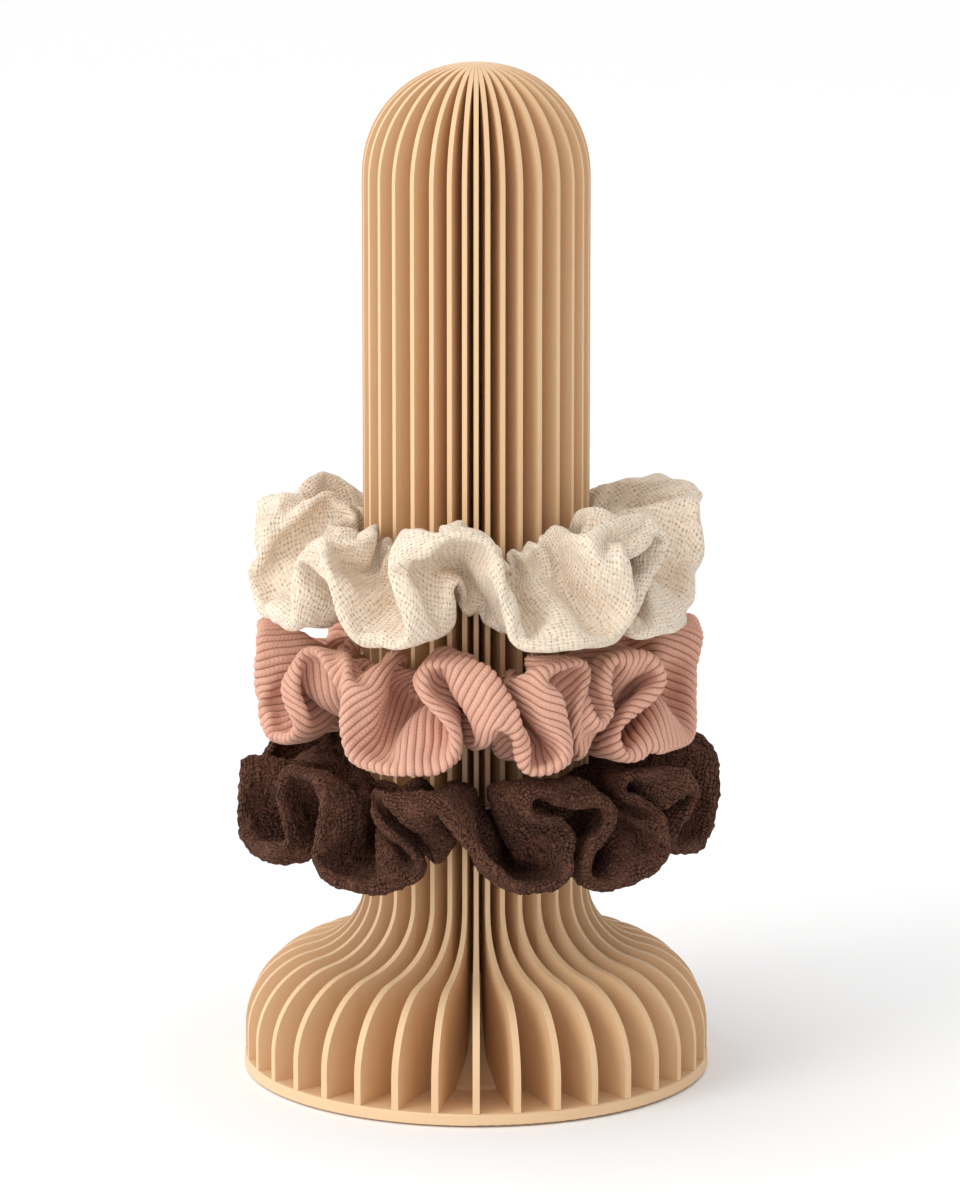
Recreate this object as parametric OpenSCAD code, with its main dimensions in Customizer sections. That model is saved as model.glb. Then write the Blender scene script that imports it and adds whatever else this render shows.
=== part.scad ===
// Ribbed hair tie post: thirty-six upright fins around a core tube, flaring
// out to a round base, with three gathered hair ties stacked on the post.
// The feet of the fins are evenly spaced. On the post they crowd towards the
// front and the back, so each fin swings sideways where it flares out.
// Millimetres, +Z up, origin at the centre of the bottom face, front is -Y.

/* [Post] */
// Diameter over the fin edges on the straight post
post_d = 57; // [54:0.5:60]
// Overall height, underside of the pad to the crown
total_h = 257; // [235:1:290]
// Height of the domed crown
dome_h = 28.6; // [26:0.1:32]
// Fullness of the dome curve, where 2 is an ellipse
dome_n = 2.11; // [1.95:0.01:2.3]

/* [Fins] */
// Thickness of each fin on the post
post_fin_t = 1.2; // [1:0.05:1.4]
// Thickness of each fin at its foot
foot_fin_t = 1.75; // [1.2:0.05:1.9]
// Radius of the fins at the foot
foot_r = 59; // [57:0.5:62]
// Height at which the foot starts to curve inwards
shoulder_z = 10.3; // [8:0.1:12]
// Radius of the outer, convex curve of the foot
shoulder_r = 21.5; // [19:0.5:22]
// Steepest lean of the foot curve away from upright, in degrees
flare_angle = 77.5; // [72:0.5:82]
// Share of the space between two fins that their mitred inner ends fill
mitre_fill = 0.92; // [0.86:0.01:0.94]
// Radius at which a fin has finished swinging out to its place at the foot
swing_r = 52; // [46:0.5:56]
// Depth of the tab under each fin
tab_h = 1.2; // [0.8:0.1:1.4]
// Inner radius of the tab
tab_in = 42; // [40:1:46]
// Outer radius of the tab
tab_out = 53; // [50:1:55]

/* [Core] */
// Outer radius of the core tube
core_r = 16; // [15.5:0.1:17]
// Wall of the core tube, from its outside to its bore
core_wall = 3; // [2.6:0.1:4]
// Outer radius of the cone around the foot of the core
cone_r = 38; // [34:0.5:39]
// Height of the top of the cone
cone_top = 28; // [24:0.5:32]
// Height of the top of the core tube
core_top = 236; // [220:1:238]
// Radius of the crown pin at the point where the fins meet
pin_r = 3.2; // [3:0.1:4]

/* [Base] */
// Radius of the base plate
plate_r = 59.3; // [58:0.1:63]
// Thickness of the base plate
plate_t = 3; // [3:0.1:4]
// How far the pad stands out under the base plate
pad_proud = 0.5; // [0.3:0.1:0.8]
// Thickness of the pad
pad_t = 1.2; // [1.0:0.1:1.4]
// Radius of the pad
pad_r = 52; // [44:0.5:54]
// Radius of the screw's shank
screw_r = 2; // [1.8:0.1:2.2]

/* [Hair ties] */
// Clear radius inside each hair tie, around the post
tie_in = 28.8; // [28.8:0.1:29.2]
// Outer radius of the lowest, brown hair tie
brown_out = 59.5; // [56:0.5:60]
// Outer radius of the middle, pink hair tie
pink_out = 54.5; // [52:0.5:56]
// Outer radius of the top, cream hair tie
cream_out = 55; // [52:0.5:56]
// Height of the brown hair tie
brown_h = 30; // [28:0.5:32]
// Height of the pink hair tie
pink_h = 30.2; // [28:0.2:32]
// Height of the cream hair tie
cream_h = 33.3; // [28:0.1:36]
// Height of the lowest point of the brown hair tie
stack_z = 56.5; // [50:0.5:58]
// Thickness of the gathered cloth wall
cloth_t = 1.2; // [1:0.1:1.6]
// Width of the flat elastic
elastic_w = 6; // [5:0.5:8]
// Thickness of the flat elastic
elastic_t = 1.2; // [0.8:0.1:1.4]

/* [Hidden] */
$fn = 96;
N_FINS = 36;
FIT = 0.04;          // clearance on each side of a glued joint
TIE_GAP = 0.3;       // air between one hair tie and the next
post_r = post_d / 2;
plate_z0 = pad_proud;
plate_z1 = pad_proud + plate_t;
cone_foot = plate_z1 + 0.8;
pad_seat = pad_t;    // ceiling of the pad's recess
dome_z0 = total_h - dome_h;
// foot curve: convex arc, then a concave arc that runs up into the post
flare_r = foot_r - shoulder_r * (1 - cos(flare_angle));
flare_z = shoulder_z + shoulder_r * sin(flare_angle);
neck_r = (flare_r - post_r) / (1 - cos(flare_angle));
neck_z = flare_z + neck_r * sin(flare_angle);
fin_in = core_r + FIT;
plug_top = core_top + 2;
pink_z = stack_z + brown_h + TIE_GAP;
cream_z = pink_z + pink_h + TIE_GAP;

TAN = [0.82, 0.65, 0.47];
DARK_TAN = [0.68, 0.50, 0.34];
STEEL = [0.72, 0.72, 0.74];
RUBBER = [0.22, 0.18, 0.16];
ELASTIC = [0.92, 0.90, 0.86];
BROWN = [0.23, 0.13, 0.10];
PINK = [0.80, 0.60, 0.53];
CREAM = [0.90, 0.83, 0.73];

function dome_rise(r) = dome_h * pow(max(0, 1 - pow(r / post_r, dome_n)), 1 / dome_n);

// outer edge of a fin, from the foot to the crown
function foot_arc() = [for (i = [0 : 14]) let (a = flare_angle * i / 14)
    [foot_r - shoulder_r * (1 - cos(a)), shoulder_z + shoulder_r * sin(a)]];
function neck_arc() = [for (i = [1 : 12]) let (a = flare_angle * (1 - i / 12))
    [post_r + neck_r * (1 - cos(a)), neck_z - neck_r * sin(a)]];
function dome_arc() = [for (i = [0 : 26]) let (a = 90 * i / 26, r = max(pin_r + FIT, post_r * cos(a)))
    if (post_r * cos(a) > pin_r + 0.8 || i == 26) [r, dome_z0 + dome_rise(r)]];

// how far the fins lie towards the front or the back of the even spacing, in
// degrees, for the first ten fins; the other quarters mirror these
LEAN = [0, 4.2, 6.6, 7.3, 6.4, 4.5, 2.6, 1.2, 0.4, 0];
function foot_az(i) = i * 360 / N_FINS;
function post_az(i) = i < 0 ? post_az(i + N_FINS) - 360 : i >= N_FINS ? post_az(i - N_FINS) + 360 :
    i <= 9 ? foot_az(i) - LEAN[i] : i <= 18 ? 180 - post_az(18 - i) : 360 - post_az(N_FINS - i);
function swing_of(i) = foot_az(i) - post_az(i);

// share of the swing done at radius r
function swung(r) = r <= post_r ? 0 :
    let (t = pow(min(1, (r - post_r) / (swing_r - post_r)), 1.25)) 1 - pow(1 - t, 3);

// the fin's middle line in plan, in a frame half way between its two azimuths
function off_az(i, r) = swing_of(i) * (swung(r) - 0.5);
function middle(i, r) = [r * cos(off_az(i, r)), r * sin(off_az(i, r))];
function across(i, r) = let (d = middle(i, r + 0.7) - middle(i, r - 0.7), n = norm(d)) [-d[1] / n, d[0] / n];
function half_t(r) = (post_fin_t + (foot_fin_t - post_fin_t) * swung(r)) / 2;
function strip(i, radii, grow) = concat(
    [for (r = radii) middle(i, r) - across(i, r) * (half_t(r) + grow)],
    [for (j = [len(radii) - 1 : -1 : 0]) middle(i, radii[j]) + across(i, radii[j]) * (half_t(radii[j]) + grow)]);

// outer curve of the cone, from the plate to the core
function cone_arc(grow) = [for (j = [0 : 9]) let (z = cone_foot + (cone_top - cone_foot) * j / 9)
    [core_r + 1.3 + grow + (cone_r - core_r - 1.3) * pow((cone_top - z) / (cone_top - cone_foot), 2.2), z + grow]];

module fin_profile(i) {
    outer = concat([[foot_r, plate_z1]], foot_arc(), neck_arc(), dome_arc());
    polygon(concat(
        [for (p = outer) [p[0] * cos(off_az(i, p[0])), p[1]]],
        [[pin_r + FIT, plug_top], [fin_in, plug_top], [fin_in, cone_top + FIT]],
        [for (j = [9 : -1 : 0]) cone_arc(FIT)[j]],
        [[cone_r + FIT, plate_z1],
         [tab_in, plate_z1], [tab_in, plate_z1 - tab_h],
         [tab_out, plate_z1 - tab_h], [tab_out, plate_z1]]));
}

// plan shape of a fin: a little thicker at the foot, mitred to a wedge near the axis
module fin_plan(i) {
    a = -swing_of(i) / 2;
    left = mitre_fill * (post_az(i + 1) - post_az(i)) / 2;
    right = mitre_fill * (post_az(i) - post_az(i - 1)) / 2;
    h = post_fin_t / 2;
    kl = h / tan(left);
    kr = h / tan(right);
    radii = [post_r, 30, 32, 34.5, 37.5, 41, 45.5, 52, foot_r + 1.5];
    side = strip(i, radii, 0);
    polygon(concat([[0, 0], [kr * cos(a) + h * sin(a), kr * sin(a) - h * cos(a)]],
        side, [[kl * cos(a) - h * sin(a), kl * sin(a) + h * cos(a)]]));
}

// fin number i, counted anticlockwise from the one at the front
module fin(i) {
    color(TAN) rotate([0, 0, -90 + (foot_az(i) + post_az(i)) / 2])
        intersection() {
            rotate([90, 0, 0]) translate([0, 0, -9])
                linear_extrude(height = 18) fin_profile(i);
            linear_extrude(height = total_h + 1) fin_plan(i);
        }
}

module core_tube() {
    color(DARK_TAN) difference() {
        translate([0, 0, plate_z1]) cylinder(r = core_r, h = core_top - plate_z1);
        translate([0, 0, plate_z1 - 1]) cylinder(r = core_r - core_wall, h = core_top - plate_z1 + 2);
    }
}

// hollow-backed cone around the foot of the core, on which the fins stand
module foot_cone() {
    color(TAN) rotate_extrude() polygon(concat(
        [[core_r + FIT, plate_z1], [cone_r, plate_z1]], cone_arc(0), [[core_r + FIT, cone_top]]));
}

// turned plug that closes the top of the core and carries the crown pin
module crown_plug() {
    color(DARK_TAN) difference() {
        union() {
            translate([0, 0, core_top - 12]) cylinder(r = core_r - core_wall - FIT, h = 12);
            translate([0, 0, core_top]) cylinder(r = core_r - 0.5, h = plug_top - core_top);
        }
        translate([0, 0, core_top - 8]) cylinder(r = pin_r + FIT, h = 20);
    }
}

module crown_pin() {
    color(TAN) union() {
        translate([0, 0, core_top - 8]) cylinder(r = pin_r, h = dome_z0 + dome_rise(pin_r) - core_top + 8);
        rotate_extrude() polygon(concat([[0, dome_z0]],
            [for (i = [6 : -1 : 0]) [pin_r * i / 6, dome_z0 + dome_rise(pin_r * i / 6)]]));
    }
}

// plug glued into the foot of the core, which the base screw pulls down
module foot_plug() {
    color(DARK_TAN) difference() {
        translate([0, 0, plate_z1]) cylinder(r = core_r - core_wall - FIT, h = 16);
        translate([0, 0, plate_z1 - 1]) cylinder(r = screw_r + FIT, h = 14);
    }
}

module base_plate() {
    color(TAN) difference() {
        rotate_extrude() union() {
            translate([0, plate_z0]) square([plate_r - 0.5, plate_t]);
            translate([0, plate_z0 + 0.3]) square([plate_r, plate_t - 0.8]);
            translate([plate_r - 0.5, plate_z1 - 0.5]) circle(r = 0.5);
            translate([plate_r - 0.3, plate_z0 + 0.3]) circle(r = 0.3);
        }
        // recess for the pad
        translate([0, 0, -1]) cylinder(r = pad_r + 0.2, h = 1 + pad_seat);
        // countersunk hole for the base screw
        translate([0, 0, -1]) cylinder(r = screw_r + 0.2, h = 10);
        translate([0, 0, pad_seat - 0.01]) cylinder(r1 = 2 * screw_r + 0.2, r2 = screw_r + 0.2, h = screw_r + 0.01);
        // blind slots for the fin tabs
        for (i = [0 : N_FINS - 1]) rotate([0, 0, -90 + (foot_az(i) + post_az(i)) / 2])
            translate([0, 0, plate_z1 - tab_h - FIT]) linear_extrude(height = tab_h + 1)
                polygon(strip(i, [tab_in - 0.3, 45.5, 52, tab_out + 0.3], FIT));
    }
}

// countersunk screw, its head flush with the ceiling of the pad's recess
module base_screw() {
    color(STEEL) difference() {
        union() {
            translate([0, 0, pad_seat + 0.05]) cylinder(r1 = 2 * screw_r, r2 = screw_r, h = screw_r);
            translate([0, 0, pad_seat + 0.05]) cylinder(r = screw_r, h = plate_z1 - pad_seat + 12);
        }
        // cross recess
        for (a = [0, 90]) rotate([0, 0, a])
            translate([-2, -0.4, pad_seat - 1]) cube([4, 0.8, 2.2]);
    }
}

module anti_slip_pad() {
    color(RUBBER) cylinder(r = pad_r, h = pad_t);
}

// gathered cloth tube: a hollow ring with a slot around its inside
module sleeve(z, h, r_out, corner) {
    rotate_extrude() difference() {
        ring_section(z, h, tie_in, r_out, corner);
        ring_section(z + cloth_t, h - 2 * cloth_t, tie_in + cloth_t, r_out - cloth_t, corner - cloth_t);
        translate([tie_in - 1, z + h / 2 - elastic_w / 2 - 0.5])
            square([cloth_t + 2, elastic_w + 1]);
    }
}

// rounded rectangle between two radii
module ring_section(z, h, r0, r1, c) {
    union() {
        translate([r0 + c, z]) square([r1 - r0 - 2 * c, h]);
        translate([r0, z + c]) square([r1 - r0, h - 2 * c]);
        for (x = [r0 + c, r1 - c], y = [z + c, z + h - c]) translate([x, y]) circle(r = c);
    }
}

module elastic(z, h) {
    color(ELASTIC) rotate_extrude()
        translate([tie_in + cloth_t + 0.2, z + h / 2 - elastic_w / 2]) square([elastic_t, elastic_w]);
}

module brown_sleeve() { color(BROWN) sleeve(stack_z, brown_h, brown_out, 14); }
module brown_elastic() { elastic(stack_z, brown_h); }
module pink_sleeve() { color(PINK) sleeve(pink_z, pink_h, pink_out, 12); }
module pink_elastic() { elastic(pink_z, pink_h); }
module cream_sleeve() { color(CREAM) sleeve(cream_z, cream_h, cream_out, 12); }
module cream_elastic() { elastic(cream_z, cream_h); }

fin(0);  // fin_01
fin(1);  // fin_02
fin(2);  // fin_03
fin(3);  // fin_04
fin(4);  // fin_05
fin(5);  // fin_06
fin(6);  // fin_07
fin(7);  // fin_08
fin(8);  // fin_09
fin(9);  // fin_10
fin(10);  // fin_11
fin(11);  // fin_12
fin(12);  // fin_13
fin(13);  // fin_14
fin(14);  // fin_15
fin(15);  // fin_16
fin(16);  // fin_17
fin(17);  // fin_18
fin(18);  // fin_19
fin(19);  // fin_20
fin(20);  // fin_21
fin(21);  // fin_22
fin(22);  // fin_23
fin(23);  // fin_24
fin(24);  // fin_25
fin(25);  // fin_26
fin(26);  // fin_27
fin(27);  // fin_28
fin(28);  // fin_29
fin(29);  // fin_30
fin(30);  // fin_31
fin(31);  // fin_32
fin(32);  // fin_33
fin(33);  // fin_34
fin(34);  // fin_35
fin(35);  // fin_36
core_tube();
foot_cone();
crown_plug();
crown_pin();
foot_plug();
base_plate();
base_screw();
anti_slip_pad();
brown_sleeve();
brown_elastic();
pink_sleeve();
pink_elastic();
cream_sleeve();
cream_elastic();
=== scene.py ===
import bpy, math
import numpy as np
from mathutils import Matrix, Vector


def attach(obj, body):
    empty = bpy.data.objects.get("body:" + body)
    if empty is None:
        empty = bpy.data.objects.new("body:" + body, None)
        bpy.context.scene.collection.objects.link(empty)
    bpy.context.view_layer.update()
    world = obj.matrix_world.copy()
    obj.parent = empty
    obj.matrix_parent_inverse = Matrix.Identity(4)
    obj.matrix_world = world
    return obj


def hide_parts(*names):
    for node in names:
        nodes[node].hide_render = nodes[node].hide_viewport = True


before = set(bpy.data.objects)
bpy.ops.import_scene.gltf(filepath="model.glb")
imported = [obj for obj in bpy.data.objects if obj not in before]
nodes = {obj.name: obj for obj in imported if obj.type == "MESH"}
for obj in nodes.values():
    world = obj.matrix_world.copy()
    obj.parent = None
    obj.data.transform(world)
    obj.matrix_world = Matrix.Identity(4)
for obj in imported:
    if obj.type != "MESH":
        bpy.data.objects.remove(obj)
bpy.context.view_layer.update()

scene = bpy.context.scene

# ---------------------------------------------------------------- materials

class Nodes:
    """A small builder for node trees."""
    def __init__(self, name):
        self.m = bpy.data.materials.new(name)
        self.m.use_nodes = True
        self.t = self.m.node_tree
        self.b = self.t.nodes["Principled BSDF"]

    def new(self, kind, **props):
        n = self.t.nodes.new("ShaderNode" + kind)
        for k, v in props.items():
            setattr(n, k, v)
        return n

    def put(self, sock, v):
        if isinstance(v, bpy.types.NodeSocket):
            self.t.links.new(v, sock)
        else:
            sock.default_value = v

    def math(self, op, a, b=0.0, c=0.0, clamp=False):
        n = self.new("Math", operation=op, use_clamp=clamp)
        for i, v in enumerate((a, b, c)):
            self.put(n.inputs[i], v)
        return n.outputs[0]

    def vec(self, op, a, b=(0, 0, 0)):
        n = self.new("VectorMath", operation=op)
        self.put(n.inputs[0], a)
        if op == "SCALE":
            self.put(n.inputs["Scale"], b)
        else:
            self.put(n.inputs[1], b)
        return n.outputs[0]

    def noise(self, at, scale, detail=2.0, rough=0.5, dims="3D"):
        n = self.new("TexNoise", noise_dimensions=dims)
        self.put(n.inputs["Vector"], at)
        n.inputs["Scale"].default_value = scale
        n.inputs["Detail"].default_value = detail
        n.inputs["Roughness"].default_value = rough
        return n.outputs["Fac"]

    def ramp(self, v, lo, hi, a=0.0, b=1.0):
        n = self.new("MapRange", interpolation_type="SMOOTHSTEP")
        for k, x in (("Value", v), ("From Min", lo), ("From Max", hi), ("To Min", a), ("To Max", b)):
            self.put(n.inputs[k], x)
        return n.outputs["Result"]

    def mix(self, f, a, b):
        n = self.new("Mix", data_type="RGBA")
        self.put(n.inputs[0], f)
        self.put(n.inputs[6], a)
        self.put(n.inputs[7], b)
        return n.outputs[2]

    def bump(self, height, strength, distance, normal=None):
        n = self.new("Bump")
        n.inputs["Strength"].default_value = strength
        n.inputs["Distance"].default_value = distance
        self.put(n.inputs["Height"], height)
        if normal is not None:
            self.put(n.inputs["Normal"], normal)
        return n.outputs["Normal"]

    def where(self, kind="Object"):
        return self.new("TexCoord").outputs[kind]

    def split(self, v):
        n = self.new("SeparateXYZ")
        self.put(n.inputs[0], v)
        return n.outputs

    def join(self, x=0.0, y=0.0, z=0.0):
        n = self.new("CombineXYZ")
        for i, v in enumerate((x, y, z)):
            self.put(n.inputs[i], v)
        return n.outputs[0]


def lin(r, g, b):
    f = lambda c: (c / 255 / 12.92) if c / 255 <= 0.04045 else ((c / 255 + 0.055) / 1.055) ** 2.4
    return (f(r), f(g), f(b), 1.0)


def plastic(name, a, b, rough=0.5, grain=0.05, coat=0.0):
    """Matte moulded plastic: a slight drift in colour, a fine grain and a few rubbed places."""
    k = Nodes(name)
    at = k.where()
    drift = k.noise(at, 22.0, 3.0)
    speck = k.noise(at, 900.0, 2.0)
    k.put(k.b.inputs["Base Color"], k.mix(k.math("ADD", k.math("MULTIPLY", drift, 0.8), k.math("MULTIPLY", speck, 0.2)), a, b))
    rub = k.noise(at, 60.0, 4.0, 0.6)
    k.put(k.b.inputs["Roughness"], k.ramp(rub, 0.35, 0.7, rough - 0.05, rough + 0.07))
    k.put(k.b.inputs["Normal"], k.bump(k.noise(at, 1500.0, 3.0, 0.6), 0.35, grain * 0.001))
    k.b.inputs["Specular IOR Level"].default_value = 0.42
    if coat:
        k.b.inputs["Coat Weight"].default_value = coat
        k.b.inputs["Coat Roughness"].default_value = 0.35
    return k.m


def steel():
    k = Nodes("brushed_steel")
    at = k.where()
    x, y, z = k.split(at)
    ring = k.math("SQRT", k.math("ADD", k.math("MULTIPLY", x, x), k.math("MULTIPLY", y, y)))
    turned = k.noise(k.join(k.math("MULTIPLY", ring, 9000.0), k.math("MULTIPLY", z, 900.0)), 1.0, 2.0)
    k.put(k.b.inputs["Base Color"], k.mix(turned, lin(168, 168, 166), lin(205, 205, 202)))
    k.b.inputs["Metallic"].default_value = 1.0
    k.put(k.b.inputs["Roughness"], k.ramp(turned, 0.2, 0.8, 0.28, 0.42))
    k.put(k.b.inputs["Normal"], k.bump(turned, 0.2, 0.00005))
    return k.m


# dark rubber pad under the base: partly a real pad, partly painted shadow, its near-black colour standing in for the
# contact shadow line under the plate
def rubber_and_shadow_line():
    k = Nodes("foam_rubber_and_shadow_line")
    at = k.where()
    cells = k.new("TexVoronoi", feature="SMOOTH_F1")
    k.put(cells.inputs["Vector"], at)
    cells.inputs["Scale"].default_value = 900.0
    d = cells.outputs["Distance"]
    k.put(k.b.inputs["Base Color"], k.mix(k.noise(at, 70.0, 3.0), lin(38, 32, 30), lin(54, 46, 42)))
    k.put(k.b.inputs["Roughness"], k.ramp(d, 0.1, 0.6, 0.82, 0.95))
    k.put(k.b.inputs["Normal"], k.bump(d, 0.6, 0.0002))
    return k.m


def webbing():
    k = Nodes("woven_elastic")
    at = k.where()
    x, y, z = k.split(at)
    turn = k.math("ARCTAN2", y, x)
    cords = k.math("ABSOLUTE", k.math("SINE", k.math("MULTIPLY", z, 2 * math.pi / 0.0019)))
    picks = k.math("ABSOLUTE", k.math("SINE", k.math("MULTIPLY", turn, 150.0)))
    h = k.math("MULTIPLY", cords, k.math("ADD", k.math("MULTIPLY", picks, 0.5), 0.5))
    # colour darker where the height h is low: painted shade in the grooves between the cords and picks
    k.put(k.b.inputs["Base Color"], k.mix(h, lin(196, 192, 186), lin(240, 238, 233)))
    k.put(k.b.inputs["Roughness"], k.ramp(h, 0.0, 1.0, 0.9, 0.75))
    k.put(k.b.inputs["Normal"], k.bump(h, 0.5, 0.0003))
    return k.m


def cloth_at(k):
    """Place on the flat cloth in millimetres: along the strip, round the tube."""
    uv = k.new("UVMap", uv_map="cloth").outputs["UV"]
    return k.vec("SCALE", uv, 100.0)


def linen():
    """Loose slubby weave in cream, with small holes where the yarns part; the gaps between yarns and the holes carry
    painted shade, the slubs a painted highlight.
    """
    k = Nodes("cream_linen")
    p = cloth_at(k)
    wob = k.new("TexNoise", noise_dimensions="2D")
    k.put(wob.inputs["Vector"], p)
    wob.inputs["Scale"].default_value = 0.30
    wob.inputs["Detail"].default_value = 2.0
    off = k.vec("SCALE", k.vec("SUBTRACT", wob.outputs["Color"], (0.5, 0.5, 0.5)), 1.5)
    q = k.vec("ADD", p, off)
    x, y, _ = k.split(q)
    warp = k.math("ABSOLUTE", k.math("SINE", k.math("MULTIPLY", x, math.pi / 1.25)))
    weft = k.math("ABSOLUTE", k.math("SINE", k.math("MULTIPLY", y, math.pi / 1.05)))
    gap_x = k.math("SUBTRACT", 1.0, warp)
    gap_y = k.math("SUBTRACT", 1.0, weft)
    zone = k.ramp(k.noise(p, 0.085, 2.0, 0.5, "2D"), 0.40, 0.62)
    pick = k.ramp(k.noise(p, 0.62, 2.0, 0.6, "2D"), 0.46, 0.62)
    hole_and_shade = k.math("MULTIPLY", k.ramp(gap_x, 0.30, 0.80), k.ramp(gap_y, 0.26, 0.70))
    hole_and_shade = k.math("MULTIPLY", hole_and_shade, k.math("ADD", k.math("MULTIPLY", zone, 0.25), k.math("MULTIPLY", pick, 0.85), clamp=True))
    along = k.noise(k.vec("MULTIPLY", q, (0.16, 1.25, 1.0)), 1.0, 3.0, 0.6, "2D")
    across = k.noise(k.vec("MULTIPLY", q, (1.35, 0.14, 1.0)), 1.0, 3.0, 0.6, "2D")
    slub_and_highlight = k.math("ADD", k.ramp(along, 0.56, 0.74), k.ramp(across, 0.55, 0.74), clamp=True)
    fleck = k.ramp(k.noise(k.vec("MULTIPLY", q, (0.5, 2.2, 1.0)), 1.0, 2.0, 0.5, "2D"), 0.60, 0.72)
    tone = k.noise(p, 0.045, 3.0, 0.5, "2D")
    fibre = k.noise(k.vec("MULTIPLY", q, (5.0, 3.0, 1.0)), 1.0, 3.0, 0.65, "2D")
    c = k.mix(tone, lin(250, 234, 214), lin(245, 226, 203))
    # painted shade: the colour is darker in the gaps between the yarns
    c = k.mix(k.math("MULTIPLY", k.ramp(gap_y, 0.2, 0.9), 0.40), c, lin(222, 192, 154))
    c = k.mix(k.math("MULTIPLY", gap_x, 0.25), c, lin(224, 196, 160))
    # painted highlight: the raised slubs are lightened
    c = k.mix(k.math("MULTIPLY", slub_and_highlight, 0.50), c, lin(250, 240, 226))
    c = k.mix(k.math("MULTIPLY", fleck, 0.45), c, lin(203, 171, 134))
    # painted shade seen through the holes: dark tan where the yarns part
    c = k.mix(k.math("MULTIPLY", hole_and_shade, 0.72), c, lin(180, 136, 94))
    k.put(k.b.inputs["Base Color"], k.mix(k.math("MULTIPLY", fibre, 0.15), c, lin(255, 248, 238)))
    h = k.math("ADD", k.math("MULTIPLY", warp, 0.42), k.math("MULTIPLY", weft, 0.30))
    h = k.math("ADD", h, k.math("MULTIPLY", slub_and_highlight, 0.45))
    h = k.math("ADD", h, k.math("MULTIPLY", fibre, 0.30))
    h = k.math("SUBTRACT", h, k.math("MULTIPLY", hole_and_shade, 1.0))
    k.put(k.b.inputs["Normal"], k.bump(h, 0.85, 0.00045))
    k.put(k.b.inputs["Roughness"], k.ramp(h, 0.0, 1.0, 0.95, 0.82))
    k.b.inputs["Specular IOR Level"].default_value = 0.15
    k.b.inputs["Sheen Weight"].default_value = 0.18
    k.b.inputs["Sheen Roughness"].default_value = 0.6
    k.b.inputs["Subsurface Weight"].default_value = 0.12
    k.b.inputs["Subsurface Radius"].default_value = (0.0012, 0.0009, 0.0007)
    k.b.inputs["Subsurface Scale"].default_value = 1.0
    return k.m


RIB_MM = 1.9


def rib_knit(n_ribs, length_mm):
    """Ribbed jersey: the ribs are in the mesh, and this adds their stitches, grooves and fluff, with painted shade
    darkening the grooves and the hollows between stitches.
    """
    k = Nodes("pink_rib_knit")
    p = cloth_at(k)
    x, y, _ = k.split(p)
    rib = k.math("ABSOLUTE", k.math("SINE", k.math("MULTIPLY", x, math.pi * n_ribs / length_mm)))
    groove_shade = k.ramp(rib, 0.50, 0.05)
    side = k.math("MULTIPLY", k.math("SINE", k.math("MULTIPLY", x, 4 * math.pi * n_ribs / length_mm)), 0.35)
    lean = k.math("ADD", y, k.math("MULTIPLY", rib, 0.9))
    lean = k.math("ADD", lean, k.math("MULTIPLY", k.noise(p, 0.8, 2.0, 0.5, "2D"), 0.5))
    stitch = k.math("ABSOLUTE", k.math("SINE", k.math("MULTIPLY", lean, math.pi / 1.15)))
    fluff = k.noise(k.vec("MULTIPLY", p, (4.0, 2.2, 1.0)), 1.0, 4.0, 0.7, "2D")
    tone = k.noise(p, 0.05, 3.0, 0.5, "2D")
    heather = k.ramp(k.noise(k.vec("MULTIPLY", p, (2.4, 0.7, 1.0)), 1.0, 2.0, 0.5, "2D"), 0.45, 0.75)
    c = k.mix(tone, lin(227, 177, 155), lin(217, 164, 141))
    c = k.mix(k.math("MULTIPLY", heather, 0.35), c, lin(234, 192, 172))
    # painted shade: darker in the grooves between the ribs and between the stitches
    c = k.mix(k.math("MULTIPLY", groove_shade, 0.72), c, lin(138, 80, 62))
    c = k.mix(k.math("MULTIPLY", k.math("SUBTRACT", 1.0, stitch), 0.16), c, lin(170, 112, 92))
    k.put(k.b.inputs["Base Color"], c)
    h = k.math("ADD", k.math("MULTIPLY", stitch, 0.45), k.math("MULTIPLY", fluff, 0.55))
    h = k.math("ADD", h, k.math("MULTIPLY", rib, 0.4))
    h = k.math("ADD", h, k.math("MULTIPLY", side, 0.2))
    k.put(k.b.inputs["Normal"], k.bump(h, 0.7, 0.00028))
    k.put(k.b.inputs["Roughness"], k.ramp(fluff, 0.3, 0.7, 0.95, 0.85))
    k.b.inputs["Specular IOR Level"].default_value = 0.12
    k.b.inputs["Sheen Weight"].default_value = 0.25
    k.b.inputs["Sheen Roughness"].default_value = 0.55
    k.put(k.b.inputs["Sheen Tint"], lin(255, 226, 212))
    return k.m


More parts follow.
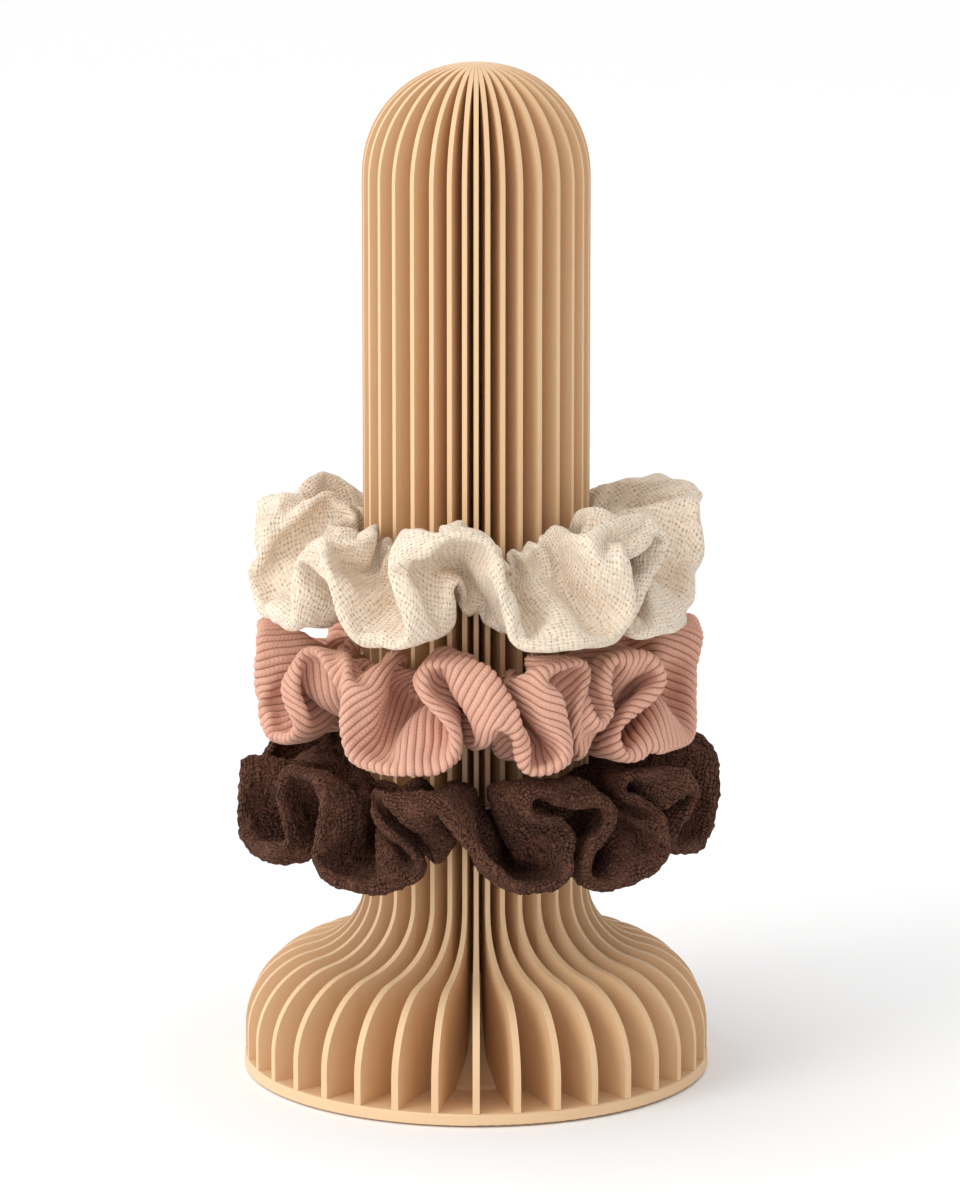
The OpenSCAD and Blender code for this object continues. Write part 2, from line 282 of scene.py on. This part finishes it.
def crepe():
    """Dark brown crinkled cloth: thick crimped yarns that wander, with a coarse grid of crossings showing through; the
    low places are painted darker as shade and the high places lighter as highlight.
    """
    k = Nodes("brown_crepe")
    p = cloth_at(k)
    wob = k.new("TexNoise", noise_dimensions="2D")
    k.put(wob.inputs["Vector"], p)
    wob.inputs["Scale"].default_value = 0.40
    wob.inputs["Detail"].default_value = 2.0
    q = k.vec("ADD", p, k.vec("SCALE", k.vec("SUBTRACT", wob.outputs["Color"], (0.5, 0.5, 0.5)), 2.6))
    x, y, _ = k.split(q)
    wander = k.math("MULTIPLY", k.noise(p, 0.30, 2.0, 0.5, "2D"), 7.0)
    yarn = k.math("ABSOLUTE", k.math("SINE", k.math("MULTIPLY", k.math("ADD", wander, k.math("MULTIPLY", y, 0.42)), math.pi)))
    bead_x = k.math("ABSOLUTE", k.math("SINE", k.math("MULTIPLY", x, math.pi / 1.05)))
    bead_y = k.math("ABSOLUTE", k.math("SINE", k.math("MULTIPLY", y, math.pi / 1.25)))
    beads = k.ramp(k.math("MULTIPLY", bead_x, bead_y), 0.02, 0.55)
    gridded = k.ramp(k.noise(p, 0.11, 2.0, 0.5, "2D"), 0.42, 0.58)
    weave = k.new("Mix", data_type="FLOAT")
    k.put(weave.inputs[0], gridded)
    k.put(weave.inputs[2], k.ramp(yarn, 0.05, 0.75))
    k.put(weave.inputs[3], beads)
    weave = weave.outputs[0]
    fibre = k.noise(k.vec("MULTIPLY", q, (3.0, 3.0, 1.0)), 1.0, 4.0, 0.7, "2D")
    crumb = k.noise(q, 0.8, 2.0, 0.6, "2D")
    h = k.math("ADD", k.math("MULTIPLY", weave, 0.75), k.math("MULTIPLY", fibre, 0.30))
    h = k.math("ADD", h, k.math("MULTIPLY", crumb, 0.35))
    tone = k.noise(p, 0.05, 3.0, 0.5, "2D")
    c = k.mix(tone, lin(76, 46, 35), lin(90, 56, 43))
    # painted shade in the low crevices of the yarns, and painted highlight on their high tops
    c = k.mix(k.ramp(h, 0.30, 0.85, 0.90, 0.0), c, lin(24, 12, 8))
    c = k.mix(k.ramp(h, 0.85, 1.25, 0.0, 0.6), c, lin(128, 88, 70))
    k.put(k.b.inputs["Base Color"], c)
    k.put(k.b.inputs["Normal"], k.bump(h, 1.0, 0.0007))
    k.put(k.b.inputs["Roughness"], k.ramp(fibre, 0.3, 0.7, 0.96, 0.86))
    k.b.inputs["Specular IOR Level"].default_value = 0.12
    k.b.inputs["Sheen Weight"].default_value = 0.15
    k.b.inputs["Sheen Roughness"].default_value = 0.6
    k.put(k.b.inputs["Sheen Tint"], lin(190, 145, 124))
    return k.m


def dress(o, material):
    o.data.materials.clear()
    o.data.materials.append(material)


# ---------------------------------------------------------------- the holder's solids

FIN_MAT = plastic("tan_plastic", lin(232, 196, 154), lin(225, 186, 143), 0.52)
BASE_MAT = plastic("tan_plastic_base", lin(232, 198, 158), lin(225, 188, 147), 0.50)
# the core and its plugs get a much darker tan than the fins: painted shade for the deep gaps between the fins
CORE_SHADE_MAT = plastic("core_plastic_painted_shade", lin(150, 112, 76), lin(136, 100, 66), 0.7)


def soften(o, width, segments=3, angle=35.0):
    b = o.modifiers.new("rounded_edges", "BEVEL")
    b.width = width
    b.segments = segments
    b.limit_method = "ANGLE"
    b.angle_limit = math.radians(angle)
    b.use_clamp_overlap = True
    b.harden_normals = False


for name, o in nodes.items():
    if name.startswith("fin_"):
        dress(o, FIN_MAT)
        soften(o, 0.00055)
    elif name in ("base_plate", "foot_cone"):
        dress(o, BASE_MAT)
    # core tube and plugs: darker tan that paints the shade between the fins
    elif name in ("core_tube", "crown_plug", "foot_plug"):
        dress(o, CORE_SHADE_MAT)
    elif name == "crown_pin":
        dress(o, FIN_MAT)
    elif name == "base_screw":
        dress(o, steel())
    # the pad's dark colour also paints the shadow line under the base plate
    elif name == "anti_slip_pad":
        dress(o, rubber_and_shadow_line())
    elif name.endswith("_elastic"):
        dress(o, webbing())

# ---------------------------------------------------------------- hair ties
# Each is a flat strip sewn into a tube and gathered on an elastic. The outer edge of the tube runs up and down along a
# path of (azimuth, radius, height) points, azimuth 0 at the front and growing to the right, millimetres from its middle.

CREAM = [
    (-172, 49, 8), (-158, 49, -7), (-145, 49, -9), (-136, 48, 0), (-126, 47, 9), (-113, 48, 8), (-105, 49, 4),
    (-98, 50, 7), (-91, 50, 6), (-86, 50, 1), (-84, 50, -5), (-76, 49.5, -9.5), (-66, 49, -10), (-60, 49, -8.5),
    (-56, 48, -2), (-51, 48, 4), (-43, 48, 3), (-38, 49, -4), (-31, 49.5, -9.5), (-22, 49.5, -9.5), (-17, 48, -2),
    (-16, 46, 6), (-9, 46, 9.5), (0, 47, 8.5), (6, 49, 3), (11, 49.5, -3), (18, 50, -8.5), (28, 50, -10),
    (37, 50, -9), (42, 49, -2), (42, 47, 6), (49, 47, 9), (58, 48, 7), (60, 49, 1), (52, 50, -2), (48, 50, -8),
    (55, 50, -10), (67, 50, -9), (79, 50, -3), (88, 49, 4), (98, 48, 9), (112, 48, 9), (124, 48, 2), (134, 49, -7),
    (148, 49, -9), (160, 49, 0),
]
PINK = [
    (-174, 49, -8), (-158, 49, 8), (-142, 49, 8), (-130, 49, -6), (-115, 49, -8), (-106, 49, 2), (-98, 49.5, 8),
    (-88, 50, 9.2), (-79, 50, 7), (-75, 50, 0), (-73, 49.5, -6), (-66, 49, -9), (-59, 49, -7), (-57, 48, 0),
    (-56, 47, 6), (-49, 46, 9.2), (-40, 47.5, 7), (-36, 49.5, 0, 4), (-32, 50, -6.5, 4), (-23, 50, -9.3),
    (-14, 50, -8.8), (-8, 49, -3.5), (-10, 47, 3), (-11, 45, 8.5), (-5, 45, 9.5, -4), (3, 47, 7, -8),
    (7, 49.5, 1, -8), (8, 50.5, -6, -8), (14, 50.5, -9, -8), (21, 50, -6.5, -8), (24, 49.5, 0, -6), (21, 47, 6, -2),
    (24, 45, 9.5, 0), (30, 44, 7), (31, 44, 0), (33, 46, -5), (39, 47, -1), (37, 46, 6), (43, 47, 9), (51, 49, 5, -4),
    (52, 50, -1, -4), (45, 49, -4), (42, 49, -8.5), (50, 50, -9), (60, 50.5, -9), (70, 50, -7), (79, 50, -1),
    (87, 49, 5), (97, 49, 8.5), (110, 49, 5), (122, 49, -6), (136, 49, -8.5), (150, 49, 6), (163, 49, 7),
]
BROWN = [
    (-172, 52, 8), (-158, 52, -8), (-142, 52, -8), (-131, 51, 6), (-118, 51, 8.5), (-108, 52, -1), (-99, 53, -3),
    (-91, 53.5, 4), (-81, 53.5, 4), (-78, 53.5, -4), (-68, 53, -6), (-58, 52, -5), (-56, 51, 2), (-51, 51, 8.5),
    (-43, 50, 8.5), (-42, 52, 2), (-42, 53, -4), (-35, 53.5, -8.5), (-25, 53.5, -9), (-17, 52, -6), (-19, 50, 0),
    (-26, 51, 4), (-25, 50, 9), (-17, 50, 9), (-11, 53, 5), (-3, 53.5, 0), (7, 53.5, -5), (16, 53.5, -8.5),
    (24, 53, -6), (26, 52, 0), (21, 50, 4), (14, 48, 9), (23, 48, 9), (32, 50, 6), (34, 52, 0), (29, 53, -5),
    (32, 53.5, -9), (41, 53.5, -9), (50, 53.5, -6), (54, 53, 0), (50, 51, 5), (46, 49, 9), (55, 50, 9), (63, 52, 5),
    (62, 53, -3), (63, 53.5, -8), (72, 54, -8.5), (81, 54, -4), (89, 54, 1), (97, 53.5, 7), (109, 52, 8.5),
    (121, 52, -2), (133, 52, -8.5), (147, 52, -6), (159, 51, 8), (171, 51, 8),
]


def edge_path(points, per=60):
    """The middle line of the puffed outer edge as a closed curve."""
    az = np.radians([p[0] for p in points])
    r = np.array([p[1] for p in points], float) * 1e-3
    z = np.array([p[2] for p in points], float) * 1e-3
    P = np.stack([r * np.sin(az), -r * np.cos(az), z], -1)
    m, out = len(P), []
    for i in range(m):
        p = [P[i - 1], P[i], P[(i + 1) % m], P[(i + 2) % m]]
        t = np.concatenate([[0], np.cumsum([np.linalg.norm(p[k + 1] - p[k]) ** 0.5 for k in range(3)])])
        x = np.linspace(t[1], t[2], per, endpoint=False)[:, None]
        lerp = lambda a, b, ta, tb: ((tb - x) * a + (x - ta) * b) / (tb - ta)
        a = [lerp(p[k], p[k + 1], t[k], t[k + 1]) for k in range(3)]
        b = [lerp(a[0], a[1], t[0], t[2]), lerp(a[1], a[2], t[1], t[3])]
        out.append(lerp(b[0], b[1], t[1], t[2]))
    return np.concatenate(out)


def even_steps(Q, n, *more):
    """Q and what goes with it, read at n even steps along Q."""
    C = np.concatenate([Q, Q[:1]])
    s = np.concatenate([[0], np.cumsum(np.linalg.norm(np.diff(C, axis=0), axis=1))])
    at = np.arange(n) / n * s[-1]
    read = lambda A: np.stack([np.interp(at, s, np.append(A[:, k], A[0, k])) for k in range(A.shape[1])], -1)
    return [s[-1], read(Q)] + [read(A) for A in more]


def low_pass(a, cut):
    n = a.shape[0]
    k = np.fft.rfftfreq(n, 1 / n)
    shape = (-1,) + (1,) * (a.ndim - 1)
    return np.fft.irfft(np.fft.rfft(a, axis=0) * np.exp(-((k / cut) ** 2) / 2).reshape(shape), n, axis=0)


def edge_rows(points, puff, nu):
    """Middle line of the edge, its two cross directions, its radius, its length, and where each step meets the elastic."""
    n = 900
    lean = np.array([p[3] if len(p) > 3 else 0.0 for p in points])
    lean = np.interp(np.arange(60 * len(points)) / 60, np.arange(len(points) + 1), np.append(lean, lean[0]))
    _, P, lean = even_steps(edge_path(points), n, np.radians(lean)[:, None])
    az = np.unwrap(np.arctan2(P[:, 0], -P[:, 1]))
    even = np.arange(n) / n * 2 * math.pi
    azi = even + low_pass(az + lean[:, 0] - even, 6.0)
    E = np.stack([0.0293 * np.sin(azi), -0.0293 * np.cos(azi), 0 * azi], -1)
    t = low_pass(np.roll(P, -1, 0) - np.roll(P, 1, 0), 60)
    t /= np.linalg.norm(t, axis=1)[:, None]
    d = P - E
    a = d - (d * t).sum(1)[:, None] * t
    a /= np.linalg.norm(a, axis=1)[:, None]
    b = np.cross(a, t)
    h = np.linalg.norm(np.roll(P, -1, 0) - P, axis=1).mean()
    bend = np.linalg.norm(np.roll(t, -1, 0) - np.roll(t, 1, 0), axis=1) / (2 * h)
    rho = low_pass(np.minimum(puff, 0.8 / (bend + 1e-6)), 50)
    rho = np.clip(rho, 0.0018, puff)
    Q = P + a * rho[:, None]
    L, Q, P, a, b, rho, E = even_steps(Q, nu, P, a, b, rho[:, None], E)
    return P, a, b, rho[:, 0], L, np.unwrap(np.arctan2(E[:, 0], -E[:, 1]))


def gather(name, points, girth, half_h, seed, body, push=14.0, puff=0.0055, nu=208, nv=30, frames=54):
    """Runs the cloth simulation: a big relaxed tube is drawn in onto the elastic while its edge is led along the path."""
    K = 20.0
    r_in, slack, noise = 0.0293, 1.0, 0.0004
    rng = np.random.default_rng(seed)
    P, a, b, rho, L0, azi = edge_rows(points, puff, nu)
    L = L0 * slack
    R0, rt = L / (2 * math.pi), girth / (2 * math.pi)
    even = np.arange(nu) / nu * 2 * math.pi
    U, V = np.meshgrid(even + azi.mean() - even.mean(), np.arange(nv) / nv * 2 * math.pi, indexing="ij")
    r = R0 - rt * np.cos(V)
    flat = np.stack([r * np.sin(U), -r * np.cos(U), rt * np.sin(V)], -1)
    start = flat.copy()
    start[..., 2] += (1 - np.cos(V)) / 2 * 0.55 * P[:, None, 2] + rng.normal(size=(nu, nv)) * noise
    goal = start.copy()
    near = np.minimum(np.arange(nv), nv - np.arange(nv))
    side = np.where(np.arange(nv) <= nv // 2, 1, -1)
    held = [j for j in range(nv) if near[j] <= 1]
    out = np.stack([np.sin(azi), -np.cos(azi), 0 * azi], -1)
    for j in held:
        goal[:, j] = r_in * out
        goal[:, j, 2] = side[j] * near[j] * 0.0036
    edge, led = nv // 2, {}
    for m in range(-3, 4):
        phi = np.clip(m * (girth / nv) / rho, -1.9, 1.9)
        goal[:, edge - m] = P + (a * np.cos(phi)[:, None] + b * np.sin(phi)[:, None]) * rho[:, None]
        led[edge - m] = (0.6, 0.4, 0.3, 0.2)[abs(m)]
    # the body of the tube is led lightly through a full, puffed section
    for d, roll in ((1, goal[:, edge - 3]), (-1, goal[:, edge + 3])):
        p = [r_in * out + (0, 0, d * 0.0036), 0.0325 * out + (0, 0, d * 0.0125), roll - a * 0.008 + b * d * 0.0015, roll]
        for n in range(2, edge - 3):
            t = (n - 1) / (edge - 4)
            j = n if d == 1 else nv - n
            goal[:, j] = p[0] * (1 - t) ** 3 + 3 * p[1] * t * (1 - t) ** 2 + 3 * p[2] * t * t * (1 - t) + p[3] * t**3
            led[j] = (body[0] if d == 1 else body[1]) * (1 - 0.5 * t)
    quads = [
        (i * nv + j, (i + 1) % nu * nv + j, (i + 1) % nu * nv + (j + 1) % nv, i * nv + (j + 1) % nv)
        for i in range(nu) for j in range(nv)
    ]
    me = bpy.data.meshes.new(name + "_sim")
    me.from_pydata((start.reshape(-1, 3) * K).tolist(), [], quads)
    me.update()
    ob = bpy.data.objects.new(name + "_sim", me)
    scene.collection.objects.link(ob)
    pin = ob.vertex_groups.new(name="held")
    for j in held:
        pin.add([i * nv + j for i in range(nu)], 1.0, "REPLACE")
    for j, w in led.items():
        pin.add([i * nv + j for i in range(nu)], w, "REPLACE")
    ob.shape_key_add(name="Basis")
    drawn = ob.shape_key_add(name="drawn_in")
    drawn.data.foreach_set("co", (goal.reshape(-1, 3) * K).ravel().astype(np.float32))
    rest = ob.shape_key_add(name="as_cut")
    rest.data.foreach_set("co", (flat.reshape(-1, 3) * K).ravel().astype(np.float32))
    drawn.value = rest.value = 0.0
    mod = ob.modifiers.new("cloth", "CLOTH")
    s = mod.settings
    s.quality = 5
    s.mass = 0.3
    s.vertex_group_mass = "held"
    s.pin_stiffness = 1.0
    s.tension_stiffness, s.compression_stiffness, s.shear_stiffness = 40.0, 5.0, 5.0
    s.bending_model = "ANGULAR"
    s.bending_stiffness = 20.0
    s.tension_damping = s.compression_damping = s.shear_damping = 5.0
    s.bending_damping = 1.0
    s.air_damping = 6.0
    s.use_pressure = True
    s.uniform_pressure_force = push
    s.effector_weights.gravity = 0.0
    s.rest_shape_key = rest
    c = mod.collision_settings
    c.use_collision = c.use_self_collision = True
    c.distance_min = 0.012
    c.self_distance_min = 0.024
    c.self_friction = 1.0
    c.collision_quality = 3
    walls = []
    bpy.ops.mesh.primitive_cylinder_add(vertices=96, radius=0.0287 * K, depth=0.2 * K)
    walls.append(bpy.context.object)
    for d in (-1, 1):
        bpy.ops.mesh.primitive_cylinder_add(vertices=64, radius=0.2 * K, depth=0.02 * K, location=(0, 0, d * (half_h + 0.01) * K))
        walls.append(bpy.context.object)
    for w in walls:
        w.modifiers.new("stop", "COLLISION")
        w.collision.thickness_outer = 0.01
        w.collision.damping = 0.5
        w.collision.cloth_friction = 1.0
    first, last = scene.frame_start, scene.frame_end
    scene.frame_start, scene.frame_end = 1, frames + 5
    mod.point_cache.frame_start, mod.point_cache.frame_end = 1, frames + 5
    for f in range(1, frames + 1):
        t = min(1.0, (f - 1) / (frames * 0.72))
        drawn.value = t * t * (3 - 2 * t)
        drawn.keyframe_insert("value", frame=f)
    for f in range(1, frames + 1):
        scene.frame_set(f)
    e = ob.evaluated_get(bpy.context.evaluated_depsgraph_get())
    m = e.to_mesh()
    co = np.zeros(len(m.vertices) * 3, np.float32)
    m.vertices.foreach_get("co", co)
    e.to_mesh_clear()
    for w in walls + [ob]:
        data = w.data
        bpy.data.objects.remove(w)
        bpy.data.meshes.remove(data)
    for act in list(bpy.data.actions):
        bpy.data.actions.remove(act)
    scene.frame_set(1)
    scene.frame_start, scene.frame_end = first, last
    return co.astype(float).reshape(nu, nv, 3) / K, L


def spline(co, mu, mv):
    """The grid as a closed cubic B-spline surface, read at mu by mv places."""
    def along(a, m):
        n = a.shape[0]
        t = np.arange(m) * n / m
        i = np.floor(t).astype(int)
        f = (t - i)[:, None, None]
        w = ((1 - f) ** 3 / 6, (3 * f**3 - 6 * f**2 + 4) / 6, (-3 * f**3 + 3 * f**2 + 3 * f + 1) / 6, f**3 / 6)
        return sum(w[k] * a[(i + k - 1) % n] for k in range(4))
    return along(along(co, mu).transpose(1, 0, 2), mv).transpose(1, 0, 2)


def normals(co):
    du = np.roll(co, -1, 0) - np.roll(co, 1, 0)
    dv = np.roll(co, -1, 1) - np.roll(co, 1, 1)
    n = np.cross(du, dv)
    return n / (np.linalg.norm(n, axis=-1, keepdims=True) + 1e-12)


def step(x, a, b):
    t = np.clip((x - a) / (b - a), 0, 1)
    return t * t * (3 - 2 * t)


def waves(x, y, period, rng, n=6):
    """A smooth random field that closes on itself round the strip and round the tube, about -1 to 1."""
    X, Y = x[-1] + x[1], y[-1] + y[1]
    out = 0
    for _ in range(n):
        a = rng.uniform(0, 2 * math.pi)
        ku, kv = round(X / period * math.cos(a)), round(Y / period * math.sin(a))
        out = out + np.cos(2 * math.pi * (ku * x[:, None] / X + kv * y[None, :] / Y) + rng.uniform(0, 2 * math.pi))
    return out / math.sqrt(n)


def round_the_elastic(co, gap=0.0):
    """Keeps both sides of the cloth clear of the elastic inside it. Rows run round the tube, the elastic at row 0."""
    m = co.shape[1]
    r = np.hypot(co[..., 0], co[..., 1])
    least = np.where(r > 0.0298, 0.0037 - gap - np.maximum(r - 0.0321 + gap, 0) * 5.0, -1.0)
    j = np.arange(m)
    up, down = (j > 0.08 * m) & (j < 0.47 * m), (j > 0.53 * m) & (j < 0.92 * m)
    co[:, up, 2] = np.maximum(co[:, up, 2], least[:, up])
    co[:, down, 2] = np.minimum(co[:, down, 2], -least[:, down])


def hair_tie(name, points, zc, half_h, girth, seed, mu, mv, relief, material, body):
    co, L = gather(name, points, girth, half_h, seed, body)
    rng = np.random.default_rng(seed + 100)
    mu = mu or 5 * round(L * 1e3 / RIB_MM)
    fine = spline(co, mu, mv)
    x, y = np.arange(mu) / mu * L * 1e3, np.arange(mv) / mv * girth * 1e3
    n = normals(fine)
    if (n * (fine - fine.mean(1, keepdims=True))).sum() < 0:
        n = -n
    # small gathers where the cloth meets the elastic
    inward = np.minimum(y, y[-1] + y[1] - y)
    fade = step(inward, 4.0, 9.0) * np.exp(-np.maximum(inward - 7.0, 0) / 7.0)
    ph = 2 * math.pi * x / (x[-1] + x[1])
    pleats = sum(a * np.cos(m * ph + 2.2 * np.sin(7 * ph + q) + q) for m, a, q in ((61, 0.5, 0.3), (83, 0.4, 2.1), (107, 0.3, 4.4)))
    lift = 0.00055 * pleats[:, None] * fade[None, :]
    lift = lift + relief(fine, x, y, rng) * step(inward, 3.0, 7.0)[None, :]
    fine = fine + n * lift[..., None]
    round_the_elastic(fine)
    fine[..., 2] = np.clip(fine[..., 2], -half_h, half_h)
    r = np.hypot(fine[..., 0], fine[..., 1])
    k = np.maximum(r, 0.02885) / r
    fine[..., 0] *= k
    fine[..., 1] *= k
    # the inner face of the cloth, 0.9 mm below the outer one
    su, sv = 260, 44
    base = spline(co, su, sv)
    nb = normals(base)
    if (nb * (base - base.mean(1, keepdims=True))).sum() < 0:
        nb = -nb
    under = base - nb * 0.0009
    round_the_elastic(under, 0.0004)
    r = np.hypot(under[..., 0], under[..., 1])
    k = np.maximum(r, 0.0295) / r
    under[..., 0] *= k
    under[..., 1] *= k
    flip = np.einsum("ijk,ijk->", np.cross(np.roll(fine, -1, 0) - fine, np.roll(fine, -1, 1) - fine), n) < 0

    def quads(a, b, off, turn):
        i, j = np.meshgrid(np.arange(a), np.arange(b), indexing="ij")
        i2, j2 = (i + 1) % a, (j + 1) % b
        q = np.stack([i * b + j, i2 * b + j, i2 * b + j2, i * b + j2], -1).reshape(-1, 4) + off
        uv = np.stack([np.stack([i, j], -1), np.stack([i + 1, j], -1), np.stack([i + 1, j + 1], -1), np.stack([i, j + 1], -1)], -2).reshape(-1, 4, 2)
        uv = uv * np.array([L * 10 / a, girth * 10 / b])
        return (q[:, ::-1], uv[:, ::-1]) if turn else (q, uv)

    q1, uv1 = quads(mu, mv, 0, flip)
    q2, uv2 = quads(su, sv, mu * mv, not flip)
    co_all = np.concatenate([fine.reshape(-1, 3), under.reshape(-1, 3)])
    co_all[:, 2] += zc
    me = bpy.data.meshes.new(name)
    q = np.concatenate([q1, q2])
    me.vertices.add(len(co_all))
    me.vertices.foreach_set("co", co_all.ravel().astype(np.float32))
    me.loops.add(q.size)
    me.loops.foreach_set("vertex_index", q.ravel().astype(np.int32))
    me.polygons.add(len(q))
    me.polygons.foreach_set("loop_start", (np.arange(len(q)) * 4).astype(np.int32))
    me.update(calc_edges=True)
    me.validate()
    layer = me.uv_layers.new(name="cloth")
    layer.uv.foreach_set("vector", np.concatenate([uv1, uv2]).reshape(-1).astype(np.float32))
    me.shade_smooth()
    ob = bpy.data.objects.new(name, me)
    scene.collection.objects.link(ob)
    mat = material(L) if callable(material) else material
    me.materials.append(mat)
    colour = name.split("_")[0]
    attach(ob, colour + "_tie")
    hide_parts(colour + "_sleeve")
    return ob


def smooth_cloth(fine, x, y, rng):
    return 0.00012 * waves(x, y, 9.0, rng)


def ribs(fine, x, y, rng):
    n = round((x[-1] + x[1]) / RIB_MM)
    du = np.linalg.norm(np.roll(fine, -1, 0) - np.roll(fine, 1, 0), axis=-1) / 2
    crowd = np.clip(du / ((x[1] - x[0]) * 1e-3), 0.25, 1.0)
    ph = math.pi * n * x / (x[-1] + x[1])
    return 0.00052 * (np.abs(np.sin(ph)) ** 0.6 - 0.6)[:, None] * crowd


def lumps(fine, x, y, rng):
    return 0.00022 * waves(x, y, 2.3, rng, 10) + 0.00016 * waves(x, y, 5.0, rng)

CREAM_H, PINK_H, BROWN_H = 0.0163, 0.0148, 0.0148
hair_tie("brown_scrunchie", BROWN, 0.0715, BROWN_H, 0.088, 3, 720, 120, lumps, crepe(), (0.12, 0.12))
hair_tie("pink_scrunchie", PINK, 0.1019, PINK_H, 0.088, 2, None, 56, ribs, lambda L: rib_knit(round(L * 1e3 / RIB_MM), L * 1e3), (0.25, 0.25))
hair_tie("cream_scrunchie", CREAM, 0.13395, CREAM_H, 0.088, 1, 660, 108, smooth_cloth, linen(), (0.1, 0.26))

# ---------------------------------------------------------------- floor, light, camera

bpy.ops.mesh.primitive_circle_add(vertices=96, radius=12.0, fill_type="NGON", location=(0, 0, 0))
floor = bpy.context.object
floor.name = "floor"
fl = Nodes("pale_floor")
fl.put(fl.b.inputs["Base Color"], fl.mix(fl.noise(fl.where(), 3.0, 2.0), (0.965, 0.965, 0.965, 1), (0.975, 0.975, 0.975, 1)))
fl.b.inputs["Roughness"].default_value = 0.9
fl.b.inputs["Specular IOR Level"].default_value = 0.1
floor.data.materials.append(fl.m)

world = bpy.data.worlds.new("studio")
scene.world = world
world.use_nodes = True
back = world.node_tree.nodes["Background"]
back.inputs[0].default_value = (1.0, 1.0, 1.0, 1)
# a broad soft room, brighter on the left than on the right
way = world.node_tree.nodes.new("ShaderNodeTexCoord")
axis = world.node_tree.nodes.new("ShaderNodeSeparateXYZ")
level = world.node_tree.nodes.new("ShaderNodeMath")
level.operation = "MULTIPLY_ADD"
level.inputs[1].default_value = -0.38
level.inputs[2].default_value = 1.0
world.node_tree.links.new(way.outputs["Generated"], axis.inputs[0])
world.node_tree.links.new(axis.outputs[0], level.inputs[0])
world.node_tree.links.new(level.outputs[0], back.inputs[1])


def soft_light(name, at, size, power, colour=(1, 1, 1)):
    l = bpy.data.lights.new(name, "AREA")
    l.shape = "DISK"
    l.size = size
    l.energy = power
    l.color = colour
    o = bpy.data.objects.new(name, l)
    scene.collection.objects.link(o)
    o.location = at
    o.rotation_euler = (Vector((0, 0, 0.12)) - Vector(at)).to_track_quat("-Z", "Y").to_euler()
    return o


soft_light("key", (-1.5, -1.1, 1.2), 1.3, 15.0, (1.0, 0.985, 0.96))

cam = bpy.data.cameras.new("camera")
cam.lens = 182.19
cam.sensor_width = 36.0
eye = bpy.data.objects.new("camera", cam)
scene.collection.objects.link(eye)
eye.location = (0.00095, -1.5, 0.4394)
eye.rotation_euler = (math.radians(78.01), 0, 0)
cam.clip_end = 100.0
scene.camera = eye
scene.view_settings.view_transform = "Standard"
scene.view_settings.look = "None"
